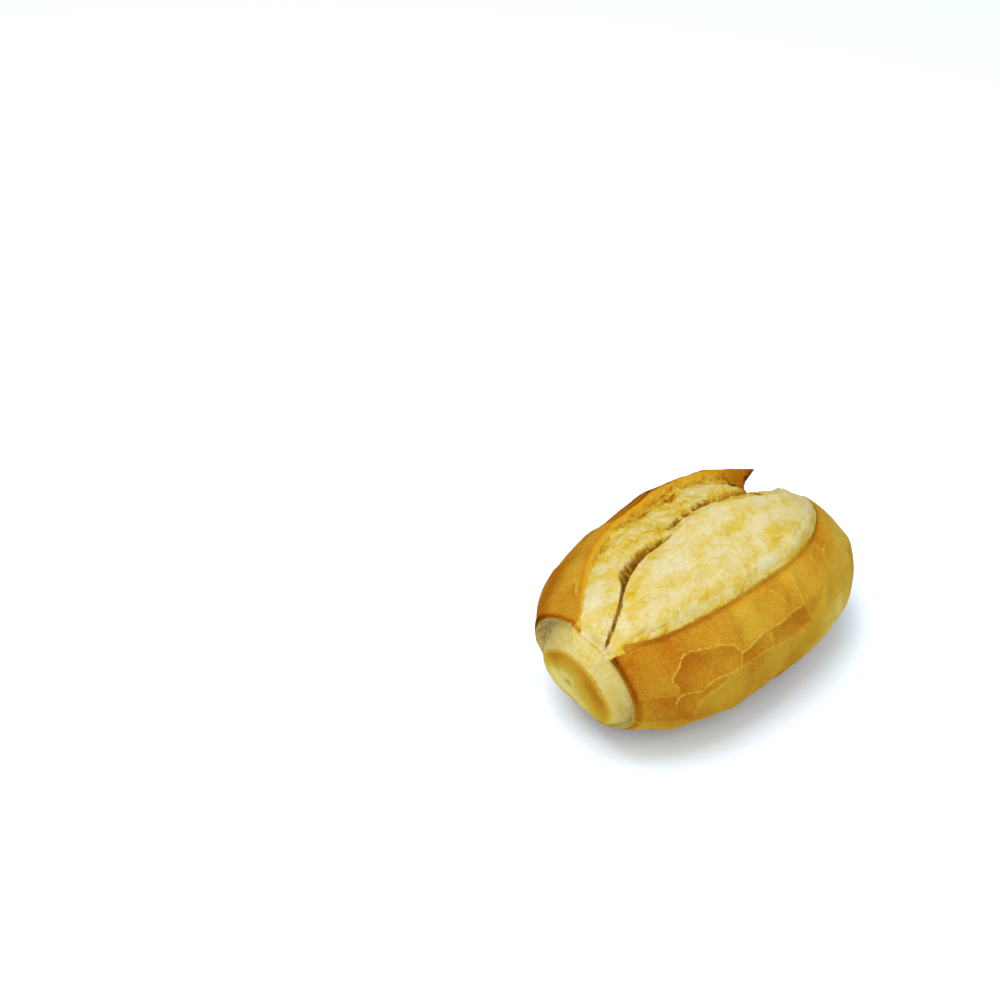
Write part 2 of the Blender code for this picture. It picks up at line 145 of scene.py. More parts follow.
# Plates of crackled crust. On the near side their borders are lines of (place along the loaf, angle from the
# top), each with how far it has opened. Everywhere else the plates are scattered
plates = {
    "borders": [
        (0.9, [(-0.832, 68.4), (-0.806, 64.9), (-0.775, 61.3), (-0.757, 57.8), (-0.737, 55.9)]),
        (1.0, [(-0.737, 55.9), (-0.706, 55.3), (-0.668, 56.8), (-0.588, 58.9), (-0.563, 59.3),
               (-0.523, 61.9), (-0.490, 64.1), (-0.478, 67.0), (-0.466, 70.2)]),
        (0.9, [(-0.466, 70.2), (-0.478, 74.2), (-0.495, 78.5)]),
        (0.7, [(-0.495, 78.5), (-0.555, 79.2), (-0.626, 78.9), (-0.660, 79.4)]),
        (1.0, [(-0.660, 79.4), (-0.687, 80.9), (-0.714, 83.7), (-0.756, 82.9), (-0.811, 83.1)]),
        (1.0, [(-0.832, 68.4), (-0.829, 72.1), (-0.818, 76.7), (-0.814, 83.1), (-0.829, 85.3),
               (-0.841, 88.7)]),
        (0.3, [(-0.841, 88.7), (-0.845, 96.8), (-0.850, 106.0)]),
        (1.0, [(-0.466, 70.2), (-0.437, 70.3), (-0.380, 68.6), (-0.332, 67.2), (-0.243, 67.1),
               (-0.187, 68.1)]),
        (0.7, [(-0.187, 68.1), (-0.105, 66.9), (-0.062, 66.8), (0.004, 67.4)]),
        (0.7, [(0.004, 67.4), (-0.003, 63.9), (-0.004, 59.9), (-0.002, 56.1), (0.012, 52.1),
               (0.031, 48.0)]),
        (0.5, [(-0.105, 66.9), (-0.119, 63.8), (-0.115, 60.4), (-0.113, 57.4), (-0.126, 53.5),
               (-0.154, 49.2)]),
        (0.4, [(-0.283, 67.0), (-0.305, 65.7), (-0.318, 59.7), (-0.324, 54.0), (-0.309, 51.0)]),
        (0.4, [(-0.490, 64.1), (-0.483, 62.2), (-0.467, 54.3), (-0.461, 51.1), (-0.464, 46.8)]),
        (0.2, [(-0.737, 55.9), (-0.721, 50.2), (-0.713, 46.9)]),
        (0.3, [(0.004, 67.4), (0.074, 67.3), (0.129, 66.5), (0.182, 63.6), (0.235, 62.9), (0.285, 61.9)]),
        (0.5, [(0.285, 61.9), (0.259, 56.5), (0.227, 53.7), (0.238, 49.4), (0.259, 43.8)]),
        (0.4, [(-0.495, 78.5), (-0.422, 78.9), (-0.351, 78.0), (-0.278, 78.5), (-0.236, 80.8),
               (-0.186, 80.0), (-0.069, 82.3), (0.05, 84.0), (0.16, 80.0), (0.285, 61.9)]),
        (0.3, [(-0.278, 78.5), (-0.269, 74.6), (-0.272, 69.6)]),
        (0.5, [(-0.728, 111.3), (-0.752, 103.9), (-0.753, 99.7), (-0.743, 95.0), (-0.725, 90.6),
               (-0.680, 87.8), (-0.639, 86.0), (-0.572, 81.9)]),
        (0.4, [(-0.186, 80.0), (-0.16, 92.0), (-0.20, 106.0)]),
        (0.3, [(0.16, 80.0), (0.28, 92.0), (0.30, 108.0)]),
    ],
    "dark": [  # plates painted darker than the rest, partly their own tone, partly painted shade where they turn down from the light: tone, outline
        (1.0, [(-0.832, 68.4), (-0.775, 61.3), (-0.737, 55.9), (-0.706, 55.3), (-0.588, 58.9),
               (-0.523, 61.9), (-0.490, 64.1), (-0.466, 70.2), (-0.495, 78.5), (-0.626, 78.9),
               (-0.660, 79.4), (-0.714, 83.7), (-0.811, 83.1)]),
        (1.0, [(-0.466, 70.2), (-0.380, 68.6), (-0.187, 68.1), (-0.062, 66.8), (0.004, 67.4),
               (0.03, 80.0), (-0.186, 80.0), (-0.278, 78.5), (-0.495, 78.5)]),
        (0.7, [(-0.811, 83.1), (-0.714, 83.7), (-0.626, 78.9), (-0.495, 78.5), (-0.572, 81.9),
               (-0.725, 90.6), (-0.752, 103.9), (-0.728, 111.3), (-0.98, 111.0), (-0.98, 84.0)]),
    ],
    "middles": [(-0.65, 69.0), (-0.60, 50.0), (-0.88, 60.0), (-0.39, 58.0), (-0.21, 58.0),
                (-0.06, 57.0), (0.12, 56.0), (-0.38, 73.5), (-0.14, 74.0), (0.10, 73.0), (-0.60, 95.0),
                (-0.88, 92.0), (-0.34, 92.0), (0.04, 96.0), (0.40, 75.0)],
    "size": 15.0,
    "reach": 7.0,
    "flatness": 1.05,
    "step": 0.20,
    "grooveDepth": 0.22,
    "grooveWidth": 0.35,
    "curl": 0.10,
}


def smooth(value, low, high):
    t = np.clip((value - low) / (high - low), 0.0, 1.0)
    return t * t * (3.0 - 2.0 * t)


def fading(value, low, high):
    return 1.0 - smooth(value, low, high)


def bumps(points, size, seed):
    # soft random heights about -1 to 1, one bump every size millimetres
    shift = np.array((seed * 7.3, seed * 3.1, seed * 5.7))
    return np.array([noise.noise(p) for p in (points / size + shift).tolist()])


def nearestDot(points, size, seed):
    # distance to the nearest of scattered dots, in sizes
    shift = np.array((seed * 7.3, seed * 3.1, seed * 5.7))
    return np.array([noise.voronoi(p)[0][0] for p in (points / size + shift).tolist()])


def earAngle(u):
    near = cut["earAngle"] + 40.0 * np.abs(np.minimum(u, 0.0)) ** 3.0
    closing = np.clip(np.maximum(u, 0.0) / cut["bloomEnd"], 0.0, 1.0) ** 4.0
    far = cut["meetAngle"] + (cut["earAngle"] - cut["meetAngle"]) * np.sqrt(1.0 - closing)
    return np.where(u < 0.0, near, far)


def crackAngle(u):
    return np.interp(u, cut["crackStations"], cut["crackAngles"])


def bloomAngle(u):
    near = np.interp(u, cut["bloomStations"], cut["bloomAngles"])
    closing = np.clip(np.maximum(u, 0.0) / cut["bloomEnd"], 0.0, 1.0) ** 2.2
    far = cut["meetAngle"] + (cut["bloomAngles"][-1] - cut["meetAngle"]) * (1.0 - closing) ** 0.53
    return np.where(u < 0.0, near, far)


def sectionFrame(u):
    # middle, side direction and up direction of the sections, which lean over towards the cap
    g = np.abs(np.minimum(u, 0.0)) ** 2.2
    s = np.maximum(u, 0.0)
    droop = math.radians(capEnd["droop"]) * g
    turn = math.radians(capEnd["turn"]) * g
    ringX, ringY, ringZ = capEnd["ringMiddle"]
    x = np.where(u < 0.0, ringX * np.abs(u), loaf["farReach"] * s)
    y = np.where(u < 0.0, ringY * u * u, loaf["farTipSide"] * s * s)
    sink = (loaf["farTipHeight"] - loaf["middleHeight"]) * s ** 2.5
    z = loaf["middleHeight"] + np.where(u < 0.0, (ringZ - loaf["middleHeight"]) * g, sink)
    middle = np.stack([x, y, z], -1)
    side = np.stack([np.sin(turn), np.cos(turn), 0.0 * turn], -1)
    up = np.stack([-np.sin(droop) * np.cos(turn), np.sin(droop) * np.sin(turn), np.cos(droop)], -1)
    return middle, side, up


def bodyPoint(u, angle):
    # the plain loaf: u is -1 at the ring, 0 in the middle, 1 at the far tip
    near = np.abs(np.minimum(u, 0.0)) ** loaf["nearFullness"]
    far = (1.0 - np.clip(u, 0.0, 1.0) ** loaf["farFullness"]) ** (1.0 / loaf["farRoundness"])
    sizes = []
    for full, atRing in ((loaf["halfWidth"], capEnd["ringHalfWidth"]),
                         (loaf["aboveMiddle"], capEnd["ringHalfHeight"]),
                         (loaf["belowMiddle"], capEnd["ringHalfHeight"])):
        sizes.append(full * np.where(u < 0.0, np.sqrt(1.0 - (1.0 - (atRing / full) ** 2) * near), far))
    wide, above, below = sizes
    middle, side, up = sectionFrame(u)
    rise = np.where(np.cos(angle) > 0.0, above, below) * np.cos(angle)
    return middle - (wide * np.sin(angle))[:, None] * side + rise[:, None] * up


def outward(u, angle):
    along = bodyPoint(np.minimum(u + 0.004, 0.999), angle) - bodyPoint(np.minimum(u - 0.004, 0.99), angle)
    around = bodyPoint(u, angle + 0.01) - bodyPoint(u, angle - 0.01)
    n = np.cross(around, along)
    return n / np.maximum(np.linalg.norm(n, axis=1, keepdims=True), 1e-9)


def plateMiddles():
    # placed plates first, then scattered ones wherever there is room on the loaf
    chance = np.random.default_rng(11)
    placed = np.array(plates["middles"])
    middles = list(bodyPoint(placed[:, 0], np.radians(placed[:, 1])))
    tries = np.stack([chance.uniform(-1.02, 1.0, 2500), chance.uniform(-math.pi, math.pi, 2500)], -1)
    for place in bodyPoint(np.clip(tries[:, 0], -1.0, 0.999), tries[:, 1]):
        gap = min(float(np.linalg.norm(place - other)) for other in middles)
        if gap > plates["size"]:
            middles.append(place)
    return np.array(middles)


def within(x, y, outline):
    # which points lie inside a closed outline
    inside = np.zeros(x.shape, bool)
    for (ax, ay), (bx, by) in zip(outline, outline[1:] + outline[:1]):
        crosses = (ay > y) != (by > y)
        inside ^= crosses & (x < ax + (y - ay) * (bx - ax) / (by - ay if by != ay else 1.0))
    return inside


def placedBorders(points):
    # distance to the nearest placed border, and how open that one is
    nearest = np.full(len(points), 99.0)
    opened = np.zeros(len(points))
    for strength, line in plates["borders"]:
        line = np.array(line)
        spots = bodyPoint(line[:, 0], np.radians(line[:, 1]))
        for a, b in zip(spots[:-1], spots[1:]):
            t = np.clip((points - a) @ (b - a) / ((b - a) @ (b - a)), 0.0, 1.0)
            gap = np.linalg.norm(points - a - t[:, None] * (b - a), axis=1)
            closer = gap < nearest
            nearest = np.where(closer, gap, nearest)
            opened = np.where(closer, strength, opened)
    return nearest, opened


def plateField(u, degrees, points):
    # distance to the border of the own plate, how open the border is, and the plate's number
    middles = plateMiddles()
    sway = np.stack([bumps(points, 8.0, 31), bumps(points, 8.0, 32), bumps(points, 8.0, 33)], -1)
    gaps = ((points + sway * 0.8)[:, None, :] - middles[None, :, :]) ** 2
    gaps = gaps.sum(2)
    order = np.argsort(gaps, axis=1)[:, :3]
    picked = np.take_along_axis(gaps, order, axis=1)
    scattered = np.full(len(points), 99.0)
    for rival in (1, 2):
        apart = np.linalg.norm(middles[order[:, 0]] - middles[order[:, rival]], axis=1)
        scattered = np.minimum(scattered, (picked[:, rival] - picked[:, 0]) / (2.0 * np.maximum(apart, 1.0)))
    wiggle = sway * 0.25 + 0.15 * bumps(points, 1.6, 34)[:, None]
    placed, opened = placedBorders(points + wiggle)
    nearSide = smooth(degrees, 36.0, 42.0) * fading(degrees, 96.0, 108.0)
    nearSide = nearSide * fading(u, 0.30, 0.42)
    border = np.where(nearSide > 0.5, placed, np.minimum(scattered, placed))
    openness = np.where(nearSide > 0.5, opened, 0.7 * smooth(bumps(points, 6.0, 51), -0.15, 0.40))
    return border, openness, order[:, 0]


def tornEdges(u, degrees):
    # creases, and the flakes that stand up beside them
    crease = np.zeros(u.shape)
    lift = np.zeros(u.shape)
    for place, angle, half, bend, turn in tears:
        x = (u - place) * np.where(u < 0.0, -capEnd["ringMiddle"][0], loaf["farReach"])
        y = (degrees - angle) * 0.6  # about 0.6 mm to a degree here
        c, s = math.cos(math.radians(turn)), math.sin(math.radians(turn))
        along = x * c + y * s
        across = -x * s + y * c - bend * (along / half) ** 2
        near = 1.0 - smooth(np.abs(along), half * 0.6, half)
        crease = np.maximum(crease, np.exp(-(across / 0.45) ** 2) * near)
        lift = np.maximum(lift, smooth(across, -0.1, 0.5) * fading(across, 0.8, 4.5) * near)
    return crease, lift


def surroundings(u, angle, base):
    # where each point lies from the lip, the crack and the bloom's edges, in millimetres round the loaf
    degrees = np.degrees(angle)
    radius = loaf["girthRadius"] * (1.0 - 0.35 * np.abs(u) ** 4)
    ragged = bumps(base, 2.6, 41) * 0.35 + bumps(base, 1.1, 42) * 0.2
    at = SimpleNamespace(u=u, degrees=degrees, base=base, radius=radius)
    at.crossing = base * np.array((1.0, 0.28, 0.28))  # noise on it runs across the loaf
    at.running = base * np.array((0.45, 1.0, 1.0))  # noise on it runs along the loaf
    at.pastEar = np.radians(degrees - earAngle(u)) * radius
    at.pastCrack = np.radians(degrees - crackAngle(u)) * radius
    at.beforeBloom = np.radians(bloomAngle(u) - degrees) * radius
    at.beforeEnd = (cut["bloomEnd"] + 0.08 * smooth(-degrees, -6.0, 6.0) - u) * loaf["farReach"]
    at.face = cut["lipFace"] * (0.5 + 0.5 * smooth(u, -0.95, -0.6)) * (1.0 - 0.5 * smooth(u, 0.35, 0.6))
    fromBack = np.radians(degrees + 27.0 - 30.0 * smooth(u, 0.66, 0.90)) * radius
    pastFace = at.pastEar - at.face
    at.pastFace = np.where(u > 0.66, np.maximum(pastFace, fromBack), pastFace) + ragged * 1.2
    inside = np.minimum(at.pastFace, at.beforeBloom + ragged)
    at.inside = np.minimum(inside, np.maximum(at.beforeEnd + ragged * 2.0, -20.0))
    at.crumb = smooth(at.inside, -0.4, 0.4)
    return at


def lipRelief(at):
    # lip: crust curled up, its face turned to the cut, torn off at the far end in teeth
    ear = cut["earHeight"] * np.interp(at.u, cut["earStations"], cut["earGrowth"])
    ear = ear * (1.0 + 0.12 * bumps(at.base, 5.0, 43))
    ear = ear + 0.2 * smooth(at.u, -0.9, -0.6) * bumps(at.base, 2.4, 44)
    pastPoint = at.pastEar + 0.4
    teeth = np.abs(np.mod(pastPoint / cut["tooth"] + 0.5, 1.0) - 0.5) * 2.0
    teeth = cut["toothDepth"] * teeth * smooth(at.pastEar, -3.0, -0.4) + 0.012 * bumps(at.base, 1.6, 45)
    tearAt = cut["earEnd"] - cut["tearSlant"] * np.clip(pastPoint, 0.0, 7.0) - teeth
    tearAt = tearAt - cut["backSlant"] * np.clip(-pastPoint, 0.0, 5.0)
    torn = 1.0 - smooth(at.u, tearAt - 0.010, tearAt + 0.012)
    ear = ear * torn
    outer = ear * np.exp(-(np.minimum(at.pastEar, 0.0) / 6.5) ** 2)
    inner = ear * (1.0 - 0.35 * smooth(at.pastEar, 0.0, at.face))
    inner = inner * fading(at.pastEar, at.face * 0.7, at.face * 1.5)
    lip = np.where(at.pastEar < 0.0, outer, inner)

    # the teeth are drawn out past the tear
    drawn = np.exp(-((at.pastEar + 0.5) / np.where(at.pastEar < -0.5, 0.7, 0.5)) ** 2)
    drawn = drawn + cut["secondTooth"] * np.exp(-((at.pastEar - 2.1) / 0.6) ** 2)
    drawn = drawn * smooth(at.u, tearAt - 0.11, tearAt - 0.008) * torn
    slide = np.stack([cut["toothDrawn"][0] * drawn, 0.0 * drawn, cut["toothDrawn"][1] * drawn], -1)

    # beyond the torn tip the back of the loaf has sunk
    behind = smooth(at.degrees, -85.0, -52.0) * fading(at.degrees, -22.0, -6.0)
    fade = 1.0 - smooth(at.u, 0.80, 0.97)
    hollow = -cut["hollowDepth"] * behind * fade * smooth(at.u, tearAt, tearAt + 0.035)
    return lip + hollow, slide, at.u - tearAt


def wallAndCrack(at):
    # torn wall: sunk and lumpy, with a fuller lobe near the ring
    u, base, crossing = at.u, at.base, at.crossing
    wallSide = smooth(at.pastEar, at.face * 0.5, at.face * 1.5) * fading(at.pastCrack, -1.0, 1.0)
    sunk = 0.25 * smooth(u, -0.95, -0.70) + 0.75 * smooth(u, -0.40, -0.12)
    sunk = sunk * fading(u, 0.55, 0.72)
    streaks, lumps, crumbs = cut["wallRoughness"]
    rough = streaks * bumps(crossing, 2.2, 46) + lumps * bumps(base, 3.2, 71) + crumbs * bumps(base, 1.4, 72)
    rough = rough * (0.4 + 0.6 * smooth(u, -0.80, -0.55))
    fromLobe = u + 0.84
    lobe = np.exp(-(fromLobe / 0.13) ** 2 - ((at.degrees + 3.0 + 60.0 * fromLobe) / 10.0) ** 2)
    wall = wallSide * (rough + cut["lobeRise"] * lobe - cut["wallDepth"] * (0.12 + 0.88 * sunk))

    # crack: a slit near the ring, then wide with torn fibres on its wall side, then a flap
    wander = 0.45 * bumps(base, 4.0, 47) + 0.25 * bumps(base, 1.5, 48)
    slit = smooth(u, -1.0, -0.95) * fading(u, -0.30, -0.27)
    width = np.interp(u, cut["openStations"], cut["openWidths"]) * (1.0 + 0.22 * bumps(crossing, 1.6, 49))
    narrow = 1.0 - smooth(u, -0.76, -0.66)
    fromFoot = at.pastCrack + 0.6 * wander + 0.45 * narrow * bumps(base, 1.0, 75)
    mouth = slit * smooth(fromFoot, -width, -0.45 * width) * fading(fromFoot, -0.15, 0.35)
    depth = cut["crackDepth"] * np.interp(u, (-0.95, -0.72, -0.64, -0.3), (0.28, 0.36, 0.55, 0.55))
    flap = cut["flapRise"] * np.exp(-((u + 0.275) / 0.045) ** 2) * (1.0 + 0.5 * bumps(crossing, 1.3, 74))
    flap = flap * smooth(at.pastCrack, -6.0, -3.0) * fading(at.pastCrack, 0.5, 3.0)

    # rear crack: a row of holes that run together towards the torn tip
    rear = smooth(u, -0.27, -0.23) * fading(u, 0.42, 0.55)
    holes = 0.25 + 0.75 * smooth(bumps(crossing, 1.4, 73), -0.20, 0.15)
    holes = np.maximum(holes, smooth(u, -0.02, 0.06))
    rearAngle = np.interp(u, cut["rearStations"], cut["rearAngles"])
    fromRear = np.radians(at.degrees - rearAngle) * at.radius + 0.5 * wander
    rearHalf = np.interp(u, (-0.25, -0.1, 0.1, 0.35), (0.7, 0.9, 1.5, 1.4))
    rearMouth = 0.9 * rear * holes * np.exp(-(fromRear / rearHalf) ** 4)
    gap = np.maximum(mouth, rearMouth)
    crack = -depth * mouth - cut["rearDepth"] * rearMouth + 0.5 * gap * bumps(crossing, 1.0, 50)
    return wall + crack + flap, gap * (1.0 - 0.38 * narrow), wallSide


def bloomRelief(at):
    # bloom: a low pillow with a rounded near edge, and the gutter outside it
    u, base = at.u, at.base
    ramp = np.interp(u, (-0.38, -0.22), (7.0, 2.8))
    pillow = smooth(at.pastCrack, -0.6, ramp) * smooth(at.beforeBloom, -0.6, 5.0)
    pillow = pillow * smooth(u, -1.02, -0.8) * (1.0 - 0.75 * smooth(u, 0.35, 0.8))
    settled = smooth(u, 0.54, 0.68) * fading(at.degrees, 4.0, 16.0)
    pillow = cut["bloomRise"] * pillow * (1.0 - 0.9 * settled) * smooth(at.beforeEnd, -1.0, 6.0)
    corner = np.exp(-((u - 0.68) / 0.075) ** 2 - ((at.degrees + 4.0) / 12.0) ** 2)
    pillow = pillow - cut["backSink"] * corner
    outside = -at.beforeBloom
    gutter = -cut["gutterDepth"] * smooth(outside, 0.0, 1.4) * fading(outside, 1.4, 7.5)
    gutter = gutter * smooth(u, -0.98, -0.8) * fading(u, 0.5, 0.85)

    # crumb lumps, flakes beside torn creases, and pits in a strip along the near edge
    large, middling, small = cut["lumps"]
    lumps = large * bumps(at.running, 5.0, 3) + middling * bumps(at.running, 2.4, 5)
    lumps = lumps + small * bumps(base, 1.2, 7)
    crease, lift = tornEdges(u, at.degrees)
    flakes = cut["flakeRise"] * lift - cut["flakeCrease"] * crease
    strip = smooth(at.beforeBloom, 1.2, 2.6) * fading(at.beforeBloom, 5.0, 8.0)
    pits = strip * fading(nearestDot(base, 2.2, 14), 0.12, 0.36)
    pits = pits * smooth(bumps(base, 7.0, 15), -0.25, 0.15)
    return pillow + gutter + at.crumb * (lumps + flakes - cut["pitDepth"] * pits), crease, strip


def crustRelief(at):
    # plates of crust with slightly opened borders, broad unevenness and fine wrinkles
    border, openness, own = plateField(at.u, at.degrees, at.base)
    tones = np.random.default_rng(23).uniform(-1.0, 1.0, 400)
    tones[:len(plates["middles"])] = 0.2
    tone = tones[own]
    # darker plates: partly own tone, partly painted shade
    for darker, outline in plates["dark"]:
        darkerTone = 0.2 - 1.15 * darker * smooth(border, 0.0, 0.7)
        tone = np.where(within(at.u, at.degrees, outline), darkerTone, tone)
    crustOnly = fading(at.inside, -3.5, -0.5) * fading(at.u, 0.90, 0.99)
    reach = plates["reach"]
    held = np.clip(np.sqrt(border ** 2 + 0.16) - 0.4, 0.0, reach)
    flat = plates["flatness"] * (0.45 - (2.0 * reach * held - held ** 2) / 70.0)
    groove = -plates["grooveDepth"] * (0.3 + 0.7 * openness) * np.exp(-(border / plates["grooveWidth"]) ** 2)
    curl = plates["curl"] * openness * np.exp(-((border - 1.0) / 0.6) ** 2)
    stepUp = plates["step"] * tone * smooth(border, 0.0, 1.5)
    broad = (1.0 - at.crumb) * (0.4 * bumps(at.base, 22.0, 1) + 0.05 * bumps(at.base, 2.0, 9))
    looks = {
        "plateBorder": border + (1.0 - crustOnly) * 5.0,
        "plateTone": tone * crustOnly,
        "openness": openness * crustOnly,
    }
    return (flat + stepUp + groove + curl) * crustOnly + broad, looks


def endRelief(at):
    # crust edge proud round the ring, none where the cut runs into it, and the shallow whorl at the far tip
    u, degrees = at.u, at.degrees
    topLeft = np.exp(-((degrees + 45.0) / 32.0) ** 2)
    noCrust = smooth(degrees, -9.0, 1.0) * fading(degrees, 37.0, 42.0)
    ring = capEnd["crustLip"] * (0.45 + 0.75 * topLeft) * (1.0 - noCrust) * smooth(-u, 0.90, 1.0)
    ring = ring - 1.6 * noCrust * smooth(-u, 0.93, 1.0) ** 1.5
    ring = ring + 0.5 * noCrust * smooth(-u, 0.90, 0.97) * bumps(at.base, 1.7, 76)
    coil = degrees / 360.0 + 2.6 * np.sqrt(np.maximum(1.0 - u, 0.0) / 0.2)
    crease = np.exp(-((coil - np.round(coil)) / 0.14) ** 2) * smooth(u, 0.86, 0.93)
    whorl = -loaf["whorlCrease"] * crease - loaf["whorlPit"] * smooth(u, 0.985, 1.0)
    return ring + whorl, noCrust


def bodyRelief(u, angle, base):
    # height over the plain loaf, slide along it, and what the material needs to know
    at = surroundings(u, angle, base)
    lip, slide, pastTear = lipRelief(at)
    wall, gap, wallSide = wallAndCrack(at)
    bloom, crease, strip = bloomRelief(at)
    crust, looks = crustRelief(at)
    ends, noCrust = endRelief(at)
    softer = np.where((at.pastFace < at.beforeBloom) & (u > -0.95), 0.4, 1.0)
    # the bloom's torn creases take a little of the crack's colour: painted shade in the creases
    looks.update(u=u, degrees=at.degrees, pastEar=at.pastEar, pastFace=at.pastFace, pastCrack=at.pastCrack,
                 pastTear=pastTear, beforeBloom=at.beforeBloom, wallSide=wallSide, strip=strip,
                 noCrust=noCrust, crumbEdge=at.inside * softer, gap=np.maximum(gap, 0.22 * crease))
    return lip + wall + bloom + crust + ends, slide, looks


def ringPoint(stand, angle, wide, tall, aside, above):
    middle, side, up = sectionFrame(np.full(angle.shape, -1.0))
    front = np.cross(up, side)
    across = aside - wide * np.sin(angle)
    rise = above + tall * np.cos(angle)
    return middle + stand[:, None] * front + across[:, None] * side + rise[:, None] * up


# Rows of the sphere, from the middle of the cap to the far tip
rowMarks = {
    "cap": 34,
    "rim": 50,
    "band": 78,
    "lip": 92,
    "ring": 110,
    "middle": 202,
    "far": 246,
    "tip": 282,
    "end": 304,
}


def capAndBand(row, angle, lipEdge):
    # cap, its rolled rim, the pale band and the inside of the crust edge
    degrees = np.degrees(angle)
    share = np.interp(row, (0, rowMarks["cap"], rowMarks["rim"]), (0.0, 0.80, 1.0))
    lean = capEnd["capTilt"][0] * np.sin(angle) + capEnd["capTilt"][1] * np.cos(angle)
    dome = capEnd["capDome"] * (1.0 - share ** 3) + lean * share
    rolled = 0.6 * (1.0 - np.sqrt(1.0 - np.clip((share - 0.86) / 0.14, 0.0, 1.0) ** 2 * 0.97))
    coil = degrees / 360.0 + share * 1.15
    crease = np.exp(-((coil - np.round(coil)) / 0.11) ** 2)
    crease = crease * smooth(share, 0.15, 0.35) * fading(share, 0.6, 0.8)
    navel = capEnd["navelDepth"] * np.exp(-(share / 0.16) ** 2)
    capHeight = capEnd["capEdge"] + dome - rolled - capEnd["swirlDepth"] * crease - navel
    down = np.clip((row - rowMarks["rim"]) / (rowMarks["band"] - rowMarks["rim"]), 0.0, 1.0)
    opened = smooth(degrees, -14.0, 2.0) * fading(degrees, 34.0, 44.0)
    sink = capEnd["bandSink"] * (1.0 - 2.2 * opened)
    bandHeight = (capEnd["capEdge"] - 0.5 + lean) * (1.0 - down) ** 0.9 - sink * np.sin(np.pi * 0.5 * down)
    hollow = capEnd["hollow"] * np.exp(-((degrees + 48.0) / 26.0) ** 2) * smooth(down, 0.45, 0.95)
    bandHeight = bandHeight - hollow
    ringWide = capEnd["ringHalfWidth"] - capEnd["crustThickness"]
    ringTall = capEnd["ringHalfHeight"] - capEnd["crustThickness"]
    aside = capEnd["capOffset"][0] * (1.0 - down)
    aside = aside + capEnd["navelAside"] * (1.0 - np.minimum(share, 1.0) ** 2)
    above = capEnd["capOffset"][1] * (1.0 - down)
    two, three = 2.0 * angle, 3.0 * angle
    waves = np.stack([np.cos(two), np.sin(two), np.cos(three), np.sin(three)], -1)
    outline = 1.0 + waves @ np.array(capEnd["capWaves"])
    wide = capEnd["capHalfWidth"] * share * outline + (ringWide - capEnd["capHalfWidth"] * outline) * down
    tall = capEnd["capHalfHeight"] * share * outline + (ringTall - capEnd["capHalfHeight"] * outline) * down
    plain = ringPoint(np.zeros(row.shape), angle, wide, tall, aside, above)
    bandShare = smooth(down, 0.02, 0.20)
    pits = -capEnd["pitDepth"] * bandShare * fading(nearestDot(plain, 1.5, 61), 0.12, 0.38)
    pits = pits * smooth(bumps(plain, 5.0, 62), -0.35, 0.2) * (0.45 + 0.55 * smooth(degrees, 55.0, 100.0))
    grain = bandShare * (0.28 * bumps(plain, 3.0, 63) + 0.16 * bumps(plain, 1.2, 64))
    skin = (1.0 - bandShare) * (0.30 * bumps(plain, 7.0, 65) + 0.07 * bumps(plain, 1.8, 66))
    stand = np.where(row < rowMarks["rim"], capHeight, bandHeight) + pits + grain + skin
    inner = ringPoint(stand, angle, wide, tall, aside, above)
    toLip = np.clip((row - rowMarks["band"]) / (rowMarks["lip"] - rowMarks["band"]), 0.0, 1.0)
    place = inner * (1.0 - toLip[:, None]) + lipEdge * toLip[:, None]
    # painted shade: darkest in the hollow under the crust lip, also towards the band's lower right, faint
    # over the rest of the band
    underLipShade = np.exp(-((degrees + 62.0) / 32.0) ** 2) * smooth(down, 0.05, 0.60)
    low = smooth(degrees, 50.0, 100.0) * smooth(down, 0.15, 0.5)
    shade = np.maximum(np.maximum(1.2 * underLipShade, 0.5 * low), 0.1) * bandShare
    return place, {"capShare": share, "bandShade": shade}


def columnAngle(turn, u):
    # lets columns follow the lip, the crack and the bloom's near edge
    held = np.clip(u, -1.0, 0.55)
    ear = min(float(earAngle(held)), -14.0 + 22.0 * float(smooth(-held, 0.8, 1.0)))
    bloom = max(float(bloomAngle(held)), 26.0)
    k = 1.0 - 0.7 * float(smooth(-held, 0.8, 1.0))
    crack = min(max(float(crackAngle(held)), ear + 8.0 + 10.0 * k), bloom - 11.0)
    counts = (0, 16, 46, 54, 66, 76, 102, 146, 156, 212, 246, 300, 320)
    angles = (-180.0, -110.0, ear - 9.0, ear - 2.0, ear + 2.0, ear + 6.0, crack - 10.0 * k, crack + 1.5 * k,
              crack + 6.0 * k, bloom - 6.0, bloom + 9.0, 112.0, 180.0)
    even = turn * 360.0 - 180.0
    mix = float(smooth(u, 0.80, 1.0))
    return np.radians(np.interp(turn * loaf["columns"], counts, angles) * (1.0 - mix) + even * mix)


def shapeLoaf(rows, turns):
    m = rowMarks
    nearU = np.interp(rows, (m["lip"], m["ring"], m["middle"]), (-1.0, -0.90, 0.0))
    farTurn = np.interp(rows, (m["middle"], m["far"], m["tip"], m["end"]), (0.0, 30.0, 58.0, 90.0))
    farU = np.sin(np.radians(farTurn))
    u = np.where(rows < m["middle"], nearU, farU)
    angle = np.zeros(rows.shape)
    whole = np.round(rows).astype(int)
    for one in np.unique(whole):
        here = whole == one
        angle[here] = columnAngle(turns[here], float(u[here][0]))
    even = np.radians(turns * 360.0 - 180.0)
    toEven = 1.0 - smooth(rows, 5.0, m["rim"])
    angle = angle * (1.0 - toEven) + even * toEven
    base = bodyPoint(u, angle)
    height, slide, looks = bodyRelief(u, angle, base)
    place = base + height[:, None] * outward(u, angle) + slide
    front, capLooks = capAndBand(rows, angle, place)
    place = np.where((rows < m["lip"])[:, None], front, place)
    place[:, 2] = np.maximum(place[:, 2], 0.0)
    looks.update(capLooks)
    looks["onBody"] = smooth(rows, m["lip"] - 3.0, m["lip"])
    place[:, 0] -= loaf["outlineMiddle"][0]
    place[:, 1] -= loaf["outlineMiddle"][1]
    return place, looks


